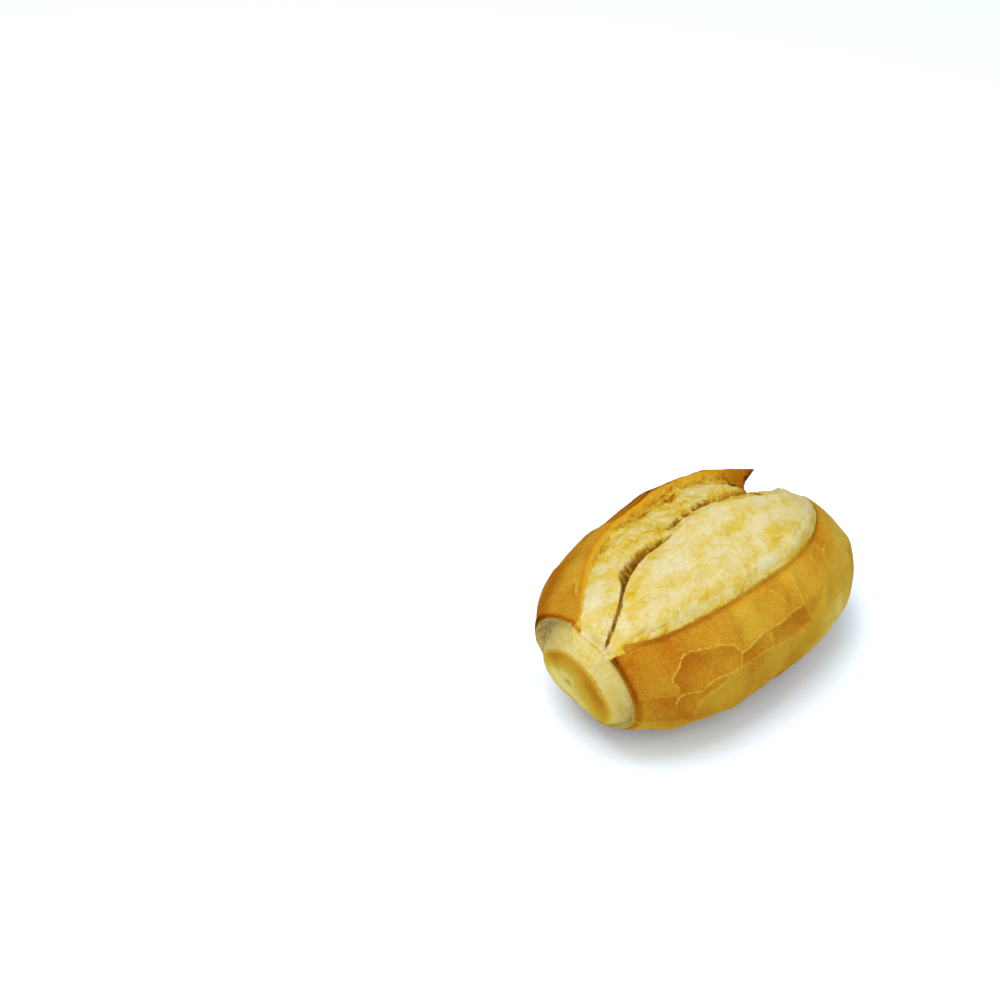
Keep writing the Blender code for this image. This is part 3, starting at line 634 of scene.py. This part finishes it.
def linear(hexColour):
    # sRGB hex to linear RGBA
    parts = [int(hexColour[i:i + 2], 16) / 255.0 for i in (1, 3, 5)]
    return tuple(c / 12.92 if c <= 0.04045 else ((c + 0.055) / 1.055) ** 2.4 for c in parts) + (1.0,)


def addNode(tree, kind, inputs=None, **settings):
    # a node with its settings and inputs: nodes and sockets are linked, values and hex colours are set
    node = tree.nodes.new("ShaderNode" + kind)
    for key, value in settings.items():
        setattr(node, key, value)
    for socket, value in (inputs or {}).items():
        if isinstance(value, bpy.types.Node):
            value = value.outputs[0]
        if isinstance(value, bpy.types.NodeSocket):
            tree.links.new(value, node.inputs[socket])
        else:
            node.inputs[socket].default_value = linear(value) if isinstance(value, str) else value
    return node


# Wheat crust and crumb, baked in a hot oven: the crust satin and golden, the crumb matt, open and cream
bread = {
    "crust": ((0.0, "#C6B668"), (0.16, "#B39639"), (0.35, "#AA8424"), (0.60, "#965D10"), (0.85, "#6E2E04"),
              (1.0, "#471E04")),
    "crumb": ((0.0, "#BFB58E"), (0.25, "#BBAB6C"), (0.50, "#B69C32"), (0.75, "#A27013"), (1.0, "#663206")),
    "lineColour": "#C19C39",
    "lineDark": "#66410F",
    "ribbon": "#BA8E1C",
    # brown of the torn crumb in the crack, also used as painted shade in the sunken places
    "gapBrownAndShade": "#9E701B",
    # darker brown deep in the crack: partly the torn fibres' own colour, partly painted shade
    "gapDeepBrownAndShade": "#68450F",
    # painted shade for the crumb's pores and its deeper hollows
    "poreShadeColour": "#8F7738",
    # painted shade colour for the ring's hollow and the band, also greying the navel
    "shadeColour": "#887241",
    "crustRoughness": 0.6,
    "crumbRoughness": 0.9,
    "gloss": 0.0,  # this crust shows no mirror light
    "poreSpacing": 1.3,
    "grainHeight": 0.4,
    # soft noise: millimetres from bump to bump, detail, roughness, the range it is cut to, what that becomes
    "patterns": {
        "clouds": (14.0, 3.0, 0.50, (0.30, 0.70), (-0.08, 0.08)),
        "speckle": (0.9, 4.0, 0.65, (0.30, 0.70), (-0.06, 0.06)),
        "wobble": (0.9, 2.0, 0.50, (0.0, 1.0), (-0.25, 0.25)),
        "tornPlaces": (5.0, 2.0, 0.50, (0.50, 0.58), (0.0, 1.0)),
        "blotches": (6.0, 3.0, 0.62, (0.38, 0.62), (-0.13, 0.13)),
        "mottles": (1.4, 4.0, 0.70, (0.34, 0.66), (-0.10, 0.10)),
        "porePlaces": (4.0, 2.0, 0.50, (0.45, 0.60), (0.0, 1.0)),
        "fibres": (0.8, 2.0, 0.60, (0.30, 0.70), (-0.16, 0.16)),
        "tufts": (2.4, 2.0, 0.60, (0.35, 0.65), (-0.22, 0.22)),
        "rags": (1.2, 3.0, 0.50, (0.0, 1.0), (-0.6, 0.6)),
        "shadeSpots": (1.5, 4.0, 0.65, (0.42, 0.62), (0.30, 0.85)),
        "crumbGrain": (0.9, 5.0, 0.75, (0.0, 1.0), (0.0, 1.4)),
        "crustGrain": (1.4, 3.0, 0.55, (0.0, 1.0), (0.0, 0.14)),
    },
    "stretched": {"blotches": (0.75, 1.0, 1.0), "mottles": (0.7, 1.0, 1.0), "fibres": (1.0, 0.3, 0.3)},
}


def bakedBread(layerNames):
    material = bpy.data.materials.new("bakedWheatBread")
    material.use_nodes = True
    tree = material.node_tree
    tree.nodes.clear()
    eased = {"interpolation_type": "SMOOTHSTEP"}
    times = {"operation": "MULTIPLY"}
    timesPlus = {"operation": "MULTIPLY_ADD"}
    colours = {"data_type": "RGBA"}
    coord = addNode(tree, "TexCoord").outputs["Object"]
    layer = {}
    for name in layerNames:
        layer[name] = addNode(tree, "Attribute", attribute_name=name).outputs["Fac"]
    pattern = {}
    for name, (size, detail, roughness, cutAt, becomes) in bread["patterns"].items():
        stretch = bread["stretched"].get(name, (1.0, 1.0, 1.0))
        curve = "LINEAR" if cutAt == (0.0, 1.0) else "SMOOTHSTEP"
        vector = addNode(tree, "Mapping", {"Vector": coord, "Scale": stretch})
        soft = addNode(tree, "TexNoise", {"Vector": vector, "Scale": 1.0 / (size * mm), "Detail": detail,
                                          "Roughness": roughness})
        limits = {0: soft, 1: cutAt[0], 2: cutAt[1], 3: becomes[0], 4: becomes[1]}
        pattern[name] = addNode(tree, "MapRange", limits, interpolation_type=curve)

    # crust: golden, browner where toast says so, each plate a touch different, fine speckle
    bake = addNode(tree, "Math", {0: layer["toast"], 1: pattern["clouds"]})
    bake = addNode(tree, "Math", {0: bake, 1: pattern["speckle"]})
    bake = addNode(tree, "Math", {0: layer["plateTone"], 1: -0.10, 2: bake}, **timesPlus)
    crustRamp = addNode(tree, "ValToRGB", {"Fac": bake})
    border = addNode(tree, "Math", {0: layer["plateBorder"], 1: pattern["wobble"]})
    line = addNode(tree, "MapRange", {0: border, 1: 0.08, 2: 0.42, 3: 1.0, 4: 0.0}, **eased)
    opened = addNode(tree, "MapRange", {0: layer["openness"], 1: 0.1, 2: 1.0, 3: 0.06, 4: 0.90}, **eased)
    line = addNode(tree, "Math", {0: line, 1: opened}, **times)
    wide = addNode(tree, "MapRange", {0: layer["openness"], 1: 0.85, 2: 1.0}, **eased)
    torn = addNode(tree, "Math", {0: wide, 1: pattern["tornPlaces"]}, **times)
    split = addNode(tree, "MapRange", {0: border, 1: 0.02, 2: 0.20, 3: 1.0, 4: 0.0}, **eased)
    split = addNode(tree, "Math", {0: split, 1: torn}, **times)
    crust = crustRamp
    for amount, name in ((line, "lineColour"), (split, "lineDark"), (layer["ribbon"], "ribbon")):
        crust = addNode(tree, "Mix", {0: amount, 6: crust, 7: bread[name]}, **colours).outputs[2]

    # crumb: cream in the hollows, golden on the high spots, painted shade in its pores and deeper hollows,
    # brown torn fibres in the crack with painted shade deep in it, and painted shade in sunken places
    mottled = addNode(tree, "Math", {0: pattern["blotches"], 1: pattern["mottles"]})
    mottled = addNode(tree, "Math", {0: mottled, 1: layer["rough"], 2: layer["toast"]}, **timesPlus)
    raised = addNode(tree, "MapRange", {0: layer["cavity"], 1: -0.12, 2: 0.12, 3: 0.06, 4: -0.06}, **eased)
    mottled = addNode(tree, "Math", {0: mottled, 1: raised})
    crumbRamp = addNode(tree, "ValToRGB", {"Fac": mottled})
    # painted shade: dark dots for the pores, and darker where the mesh lies in a hollow
    dots = addNode(tree, "TexVoronoi", {"Vector": coord, "Scale": 1.0 / (bread["poreSpacing"] * mm)})
    poreShade = addNode(tree, "MapRange", {0: dots, 1: 0.08, 2: 0.25, 3: 0.5, 4: 0.0}, **eased)
    poreShade = addNode(tree, "Math", {0: poreShade, 1: pattern["porePlaces"]}, **times)
    cavityShade = addNode(tree, "MapRange", {0: layer["cavity"], 1: 0.15, 2: 0.60, 4: 0.7}, **eased)
    fibres = addNode(tree, "Math", {0: pattern["fibres"], 1: pattern["tufts"]})
    nearGap = addNode(tree, "MapRange", {0: layer["gap"], 1: 0.05, 2: 0.30}, **eased)
    depth = addNode(tree, "Math", {0: fibres, 1: nearGap, 2: layer["gap"]}, **timesPlus)
    shallow = addNode(tree, "MapRange", {0: depth, 1: 0.16, 2: 0.50}, **eased)
    # deeper in the crack: darker brown, partly painted shade
    deep = addNode(tree, "MapRange", {0: depth, 1: 0.55, 2: 1.05}, **eased)
    crumb = crumbRamp
    for amount, name in ((poreShade, "poreShadeColour"), (cavityShade, "poreShadeColour"), (layer["sunken"], "gapBrownAndShade"),
                         (shallow, "gapBrownAndShade"), (deep, "gapDeepBrownAndShade")):
        crumb = addNode(tree, "Mix", {0: amount, 6: crumb, 7: bread[name]}, **colours).outputs[2]
    for node, stops in ((crustRamp, bread["crust"]), (crumbRamp, bread["crumb"])):
        bar = node.color_ramp
        while len(bar.elements) < len(stops):
            bar.elements.new(0.5)
        for element, (at, colour) in zip(bar.elements, stops):
            element.position = at
            element.color = linear(colour)

    # where one becomes the other, then painted shade in grey-brown: spotted in the ring's hollow under the
    # crust lip and on the band, and the navel greyed in the same colour
    edge = addNode(tree, "Math", {0: layer["crumbEdge"], 1: pattern["rags"]})
    isCrumb = addNode(tree, "MapRange", {0: edge, 1: -0.25, 2: 0.25}, **eased)
    isCrust = addNode(tree, "Math", {0: 1.0, 1: isCrumb}, operation="SUBTRACT")
    colour = addNode(tree, "Mix", {0: isCrumb, 6: crust, 7: crumb}, **colours).outputs[2]
    shade = {0: layer["shade"], 1: pattern["shadeSpots"], 2: layer["navel"]}
    shade = addNode(tree, "Math", shade, **timesPlus)
    colour = addNode(tree, "Mix", {0: shade, 6: colour, 7: bread["shadeColour"]}, **colours).outputs[2]
    roughness = {0: isCrumb, 2: bread["crustRoughness"], 3: bread["crumbRoughness"]}
    roughness = addNode(tree, "Mix", roughness, data_type="FLOAT")
    grain = addNode(tree, "Math", {0: pattern["crumbGrain"], 1: isCrumb}, **times)
    grain = addNode(tree, "Math", {0: pattern["crustGrain"], 1: isCrust, 2: grain}, **timesPlus)
    bump = addNode(tree, "Bump", {"Height": grain, "Strength": 0.6, "Distance": bread["grainHeight"] * mm})
    shader = addNode(tree, "BsdfPrincipled", {
        "Base Color": colour,
        "Roughness": roughness,
        "Normal": bump,
        "IOR": 1.45,
        "Specular IOR Level": bread["gloss"],
        "Subsurface Weight": 0.08,
        "Subsurface Scale": 1.0 * mm,
        "Subsurface Radius": (1.0, 0.6, 0.3),
    })
    addNode(tree, "OutputMaterial", {"Surface": shader})
    return material


# How brown the oven made each part, 0 pale to 1 burnt, with painted shade and painted light among the
# crust's places: plain crust, what its places add, then the rest
browning = {
    "crust": 0.41,
    "leastCrust": 0.11,
    # partly browner crust, partly painted shade on the side turned from the light
    "back": 0.24,
    "ringEdge": 0.34,
    "gutterLine": 0.10,
    "lipEdge": 0.32,
    "tornTip": 0.06,
    # painted shade on the low sides
    "lowSideShade": 0.04,
    "nearCap": 0.20,
    "besideBloom": 0.08,
    "farEnd": -0.16,
    # painted light: paler low on the near side towards the far end, where the floor throws light back
    "farLowBounceLight": -0.21,
    "crumb": 0.20,
    "wall": 0.15,
    "bloomEdge": 0.15,
    "bloomRim": 0.16,
    "tear": 0.36,
    "strip": -0.10,
    "cap": 0.05,
    "capFace": 0.06,
    "capRim": 0.37,
    "band": 0.32,
    # patches in the crumb: place, angle, half length along the loaf, half width across it, strength
    "golden": [(0.03, 16.0, 13.0, 2.2, 0.16), (0.17, 30.0, 7.0, 2.2, 0.20), (0.0, 34.0, 7.0, 2.0, 0.20),
               (-0.27, 33.0, 5.0, 2.5, 0.20), (-0.49, 34.0, 6.0, 2.5, 0.16), (-0.64, 30.0, 5.0, 3.0, 0.12),
               (-0.68, 14.0, 8.0, 6.0, 0.22), (-0.54, 2.0, 6.0, 2.0, 0.10), (0.45, 22.0, 4.0, 2.0, 0.08),
               (0.03, -32.0, 6.0, 2.3, 0.50), (-0.16, -33.0, 7.0, 1.2, 0.20), (0.30, -30.0, 10.0, 1.2, 0.18),
               (-0.43, -27.0, 7.0, 2.0, 0.12), (-0.30, -14.0, 5.0, 3.0, 0.14)],
    "pale": [(-0.32, 9.0, 11.0, 3.0, 0.14), (-0.05, 20.0, 9.0, 2.4, 0.16), (0.27, 10.0, 12.0, 3.0, 0.10),
             (-0.52, 16.0, 8.0, 4.0, 0.10), (-0.86, -2.0, 5.0, 4.0, 0.17), (0.53, 18.0, 5.0, 5.0, 0.05),
             (-0.60, 27.0, 5.0, 2.0, 0.10), (0.20, -27.0, 6.0, 2.5, 0.17), (-0.20, -24.0, 4.0, 2.5, 0.16)],
}


def patches(u, degrees, listed):
    # soft oval patches, added up
    total = np.zeros(u.shape)
    for place, angle, half, wide, strength in listed:
        x = (u - place) * np.where(u < 0.0, -capEnd["ringMiddle"][0], loaf["farReach"])
        y = (degrees - angle) * 0.62  # about 0.62 mm to a degree here
        total += strength * np.exp(-(x / half) ** 2 - (y / wide) ** 2)
    return total


def crustToast(u, degrees, looks):
    fromBloom = -looks["beforeBloom"]
    # the back side: darker towards its far edge, partly browning, partly painted shade
    back = smooth(-degrees, 31.0, 52.0) * (1.0 - 0.85 * smooth(-degrees, 74.0, 104.0))
    lipEdge = np.exp(-((looks["pastEar"] + 0.6) / 1.6) ** 2) * (0.25 + 0.75 * smooth(u, -0.35, 0.10))
    lipEdge = lipEdge * (1.0 - 0.5 * smooth(u, 0.38, 0.52)) * fading(u, 0.72, 0.80)
    tornTip = np.exp(-(looks["pastEar"] / 3.5) ** 2) * smooth(u, 0.42, 0.62) * fading(u, 0.70, 0.80)
    nearCap = smooth(degrees, 30.0, 45.0) * (1.0 - 0.8 * smooth(degrees, 62.0, 85.0))
    besideBloom = smooth(fromBloom, 0.5, 2.0) * fading(fromBloom, 5.0, 11.0)
    farEnd = smooth(fromBloom, 4.0, 14.0) * fading(np.abs(degrees), 120.0, 150.0)
    # painted light low towards the far end
    farLowBounceLight = smooth(degrees, 66.0, 88.0) * fading(degrees, 105.0, 140.0)
    shares = {
        "back": back * (1.0 - 0.7 * smooth(u, 0.1, 0.6)),
        "ringEdge": np.exp(-((u + 0.990) / 0.014) ** 2),
        "gutterLine": np.exp(-((fromBloom - 1.2) / 0.9) ** 2),
        "lipEdge": lipEdge,
        "tornTip": tornTip,
        # painted shade on the low sides
        "lowSideShade": smooth(np.abs(degrees), 66.0, 80.0) * fading(u, 0.1, 0.5),
        "nearCap": nearCap * fading(u, -0.86, -0.50),
        "besideBloom": besideBloom * smooth(u, 0.05, 0.30) * fading(u, 0.36, 0.50),
        "farEnd": farEnd * smooth(u, 0.15, 0.55),
        "farLowBounceLight": farLowBounceLight * np.exp(-((u - 0.28) / 0.22) ** 2),
    }
    toast = browning["crust"] + sum(browning[name] * share for name, share in shares.items())
    return np.maximum(toast, browning["leastCrust"])


def crumbToast(u, degrees, looks):
    fromEdge = looks["beforeBloom"]
    pastFace, pastCrack, pastTear = looks["pastFace"], looks["pastCrack"], looks["pastTear"]
    toast = browning["crumb"] + 0.04 * smooth(fromEdge, 4.0, 16.0)
    toast += patches(u, degrees, browning["golden"]) - patches(u, degrees, browning["pale"])
    toast += browning["wall"] * looks["wallSide"] * smooth(u, -0.75, -0.55)
    toast += browning["bloomEdge"] * fading(fromEdge, 1.2, 4.2) * (degrees > 10.0)
    toast += browning["bloomRim"] * fading(fromEdge, 0.0, 1.4)
    toast += fading(pastFace, 0.0, 3.0) * np.interp(u, (-0.9, -0.6, 0.0), (0.04, 0.17, 0.19))
    atTear = smooth(pastTear, -0.040, 0.0) * fading(pastTear, 0.03, 0.07)
    toast += browning["tear"] * atTear * fading(pastCrack, -6.0, -2.0)
    return toast + browning["strip"] * looks["strip"] * smooth(u, -0.4, -0.1)


def browned(rows, looks):
    # the oven's work all over, with the crust's painted shade and painted light: body, cap and the band
    # between
    u, degrees, share = looks["u"], looks["degrees"], looks["capShare"]
    onCrumb = looks["crumbEdge"] > 0.0
    body = np.where(onCrumb, crumbToast(u, degrees, looks), crustToast(u, degrees, looks))
    towardsTop = smooth(np.cos(np.radians(degrees - 35.0)), -0.9, 0.3)
    rimBrown = smooth(share, 0.30, 0.88) * (1.0 - 0.70 * smooth(share, 0.90, 1.0))
    rimBrown = rimBrown * (0.15 + 0.85 * towardsTop)
    cap = browning["cap"] + browning["capFace"] * smooth(share, 0.1, 0.3) * towardsTop
    cap = cap + browning["capRim"] * rimBrown
    band = browning["band"] + 0.02 * looks["noCrust"] + 0.04 * smooth(degrees, 60.0, 100.0)
    return np.where(rows < rowMarks["rim"], cap, np.where(rows < rowMarks["lip"], band, body))


def hollowness(ball, rounds):
    # how far each vertex lies below its surroundings, in millimetres
    co = np.array([v.co[:] for v in ball.verts]) / mm
    normals = np.array([v.normal[:] for v in ball.verts])
    ends = np.array([(e.verts[0].index, e.verts[1].index) for e in ball.edges])
    count = np.bincount(ends.ravel(), minlength=len(co)).astype(float)
    soft = co.copy()
    for _ in range(rounds):
        total = np.zeros_like(soft)
        for axis in range(3):
            total[:, axis] = np.bincount(ends[:, 0], soft[ends[:, 1], axis], len(co))
            total[:, axis] += np.bincount(ends[:, 1], soft[ends[:, 0], axis], len(co))
        soft = 0.5 * soft + 0.5 * total / count[:, None]
    return ((soft - co) * normals).sum(1)


def materialLayers(rows, looks):
    # what the material reads at each vertex, over the body, the band and the cap
    m = rowMarks
    u, onBody, noCrust = looks["u"], looks["onBody"], looks["noCrust"]
    opened = noCrust * 3.0 - 1.5
    bandEdge = np.minimum((rows - m["rim"]) * 0.3, (m["lip"] - 2.0 - rows) * 0.3)
    bandEdge = np.where(rows < m["rim"], bandEdge, np.maximum(bandEdge, opened))
    onRing = np.where(u < -0.93, np.maximum(looks["crumbEdge"], opened), looks["crumbEdge"])
    crumbEdge = np.where(rows < m["lip"], bandEdge, onRing)
    ribbon = 0.65 * smooth(looks["pastEar"], -0.8, 0.5) * (crumbEdge < 0.0) * onBody * smooth(u, -1.0, -0.85)
    ribbon = ribbon * (looks["degrees"] < 10.0) * fading(u, 0.35, 0.55)
    ringLine = 0.8 * np.exp(-((rows - m["lip"] + 4.0) / 4.0) ** 2) * (1.0 - noCrust)
    onBand = (rows > m["rim"]) * fading(rows, m["band"], m["lip"])
    return {
        "crumbEdge": crumbEdge,
        "gap": looks["gap"] * onBody,
        "plateBorder": looks["plateBorder"] + (1.0 - onBody) * 5.0,
        "plateTone": looks["plateTone"] * onBody,
        "openness": looks["openness"],
        "toast": browned(rows, looks),
        # painted shade in the ring's hollow and on the band, less where the cut runs into it
        "shade": looks["bandShade"] * (rows > m["rim"]) * (1.0 - onBody) * (1.0 - 0.7 * noCrust),
        "navel": 0.80 * np.exp(-(looks["capShare"] / 0.12) ** 2),
        "ribbon": np.maximum(ribbon, ringLine),
        "rough": 1.0 - 0.60 * onBand * (1.0 - 0.6 * noCrust),
    }


def makeLoaf():
    ball = bmesh.new()
    bmesh.ops.create_uvsphere(ball, u_segments=loaf["columns"], v_segments=loaf["rows"], radius=1.0)
    bmesh.ops.rotate(ball, verts=ball.verts[:], matrix=Matrix.Rotation(math.radians(90.0), 3, "Y"))
    start = np.array([v.co[:] for v in ball.verts])
    rows = np.round((0.5 + np.arcsin(np.clip(start[:, 0], -1.0, 1.0)) / np.pi) * loaf["rows"], 2)
    turns = np.mod(np.arctan2(-start[:, 1], start[:, 2]) / (2.0 * np.pi) + 0.5, 1.0)
    places, looks = shapeLoaf(rows, turns)
    for vert, place in zip(ball.verts, places):
        vert.co = Vector(place) * mm
    bmesh.ops.recalc_face_normals(ball, faces=ball.faces[:])
    ball.normal_update()
    ball.verts.index_update()
    print("loaf shaped")
    layers = materialLayers(rows, looks)
    layers["cavity"] = np.clip(hollowness(ball, 4), -1.0, 1.0)
    # painted shade: the crack's brown laid where the surface lies well below its surroundings
    layers["sunken"] = 0.45 * smooth(hollowness(ball, 60), 0.35, 1.8) * (rows > rowMarks["lip"])
    mesh = bpy.data.meshes.new("breadRoll")
    ball.to_mesh(mesh)
    ball.free()
    for name, values in layers.items():
        mesh.attributes.new(name, "FLOAT", "POINT").data.foreach_set("value", values.astype(np.float32))
    mesh.shade_smooth()
    roll = bpy.data.objects.new("breadRoll", mesh)
    bpy.context.scene.collection.objects.link(roll)
    roll.data.materials.append(bakedBread(list(layers)))
    return roll


# Camera where the photograph was taken from, so the roll keeps its place in the picture
view = {
    "rise": 37.0,
    "turn": 47.4,
    "distance": 0.8075,
    "pixelsPerUnit": 2550.0,
    "imageSize": 1000.0,
    "rollPixel": (709.9, 581.2),
    "lookHeight": 28.5,
}


def setCamera():
    rise, turn = math.radians(view["rise"]), -math.radians(view["turn"])
    back = Vector((math.sin(turn) * math.cos(rise), -math.cos(turn) * math.cos(rise), math.sin(rise)))
    right = Vector((math.cos(turn), math.sin(turn), 0.0))
    up = back.cross(right)
    middle = view["imageSize"] / 2.0
    aside = (view["rollPixel"][0] - middle) / view["pixelsPerUnit"] * view["distance"]
    below = (view["rollPixel"][1] - middle) / view["pixelsPerUnit"] * view["distance"]
    target = Vector((-loaf["outlineMiddle"][0], -loaf["outlineMiddle"][1], view["lookHeight"])) * mm
    data = bpy.data.cameras.new("camera")
    data.sensor_width = 36.0
    data.lens = view["pixelsPerUnit"] / view["imageSize"] * data.sensor_width
    data.clip_start = 0.02
    camera = bpy.data.objects.new("camera", data)
    spot = target + back * view["distance"] - right * aside + up * below
    turned = Matrix((right, up, back)).transposed().to_4x4()
    camera.matrix_world = Matrix.Translation(spot) @ turned
    bpy.context.scene.collection.objects.link(camera)
    bpy.context.scene.camera = camera


# A soft light nearly overhead, so shadows stay short under the roll, and a wider one from the camera's side
studio = {
    "floorSize": 3.0,
    "floorColour": "#E6F2FF",
    "skyStrength": 0.55,
    "lights": [  # name, azimuth, rise, distance, size, watts
        ("key", 165.0, 76.0, 1.1, 0.80, 11.6),
        ("fill", -140.0, 38.0, 1.3, 1.0, 9.8),
    ],
}


def setStudio():
    scene = bpy.context.scene
    scene.view_settings.view_transform = "Standard"
    world = bpy.data.worlds.new("studioWhite")
    scene.world = world
    world.use_nodes = True
    sky = world.node_tree.nodes["Background"]
    sky.inputs["Color"].default_value = (1.0, 1.0, 1.0, 1.0)
    sky.inputs["Strength"].default_value = studio["skyStrength"]
    sheet = bmesh.new()
    bmesh.ops.create_grid(sheet, x_segments=1, y_segments=1, size=studio["floorSize"])
    mesh = bpy.data.meshes.new("floor")
    sheet.to_mesh(mesh)
    sheet.free()
    floor = bpy.data.objects.new("floor", mesh)
    scene.collection.objects.link(floor)
    paper = bpy.data.materials.new("whitePaper")
    paper.use_nodes = True
    shader = paper.node_tree.nodes["Principled BSDF"]
    shader.inputs["Base Color"].default_value = linear(studio["floorColour"])
    shader.inputs["Roughness"].default_value = 0.9
    floor.data.materials.append(paper)
    for name, azimuth, rise, distance, size, watts in studio["lights"]:
        turn, lift = math.radians(azimuth), math.radians(rise)
        flat = math.cos(lift)
        away = Vector((math.cos(turn) * flat, math.sin(turn) * flat, math.sin(lift)))
        light = bpy.data.lights.new(name, "AREA")
        light.energy = watts
        light.size = size
        lamp = bpy.data.objects.new(name, light)
        lamp.location = away * distance + Vector((0.0, 0.0, 0.03))
        lamp.rotation_euler = away.to_track_quat("Z", "Y").to_euler()
        scene.collection.objects.link(lamp)


setCamera()
print("camera set")
roll = makeLoaf()
print("roll baked:", len(roll.data.polygons), "faces")
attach(roll, "root")
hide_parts("bread_roll")
setStudio()
print("studio lit")
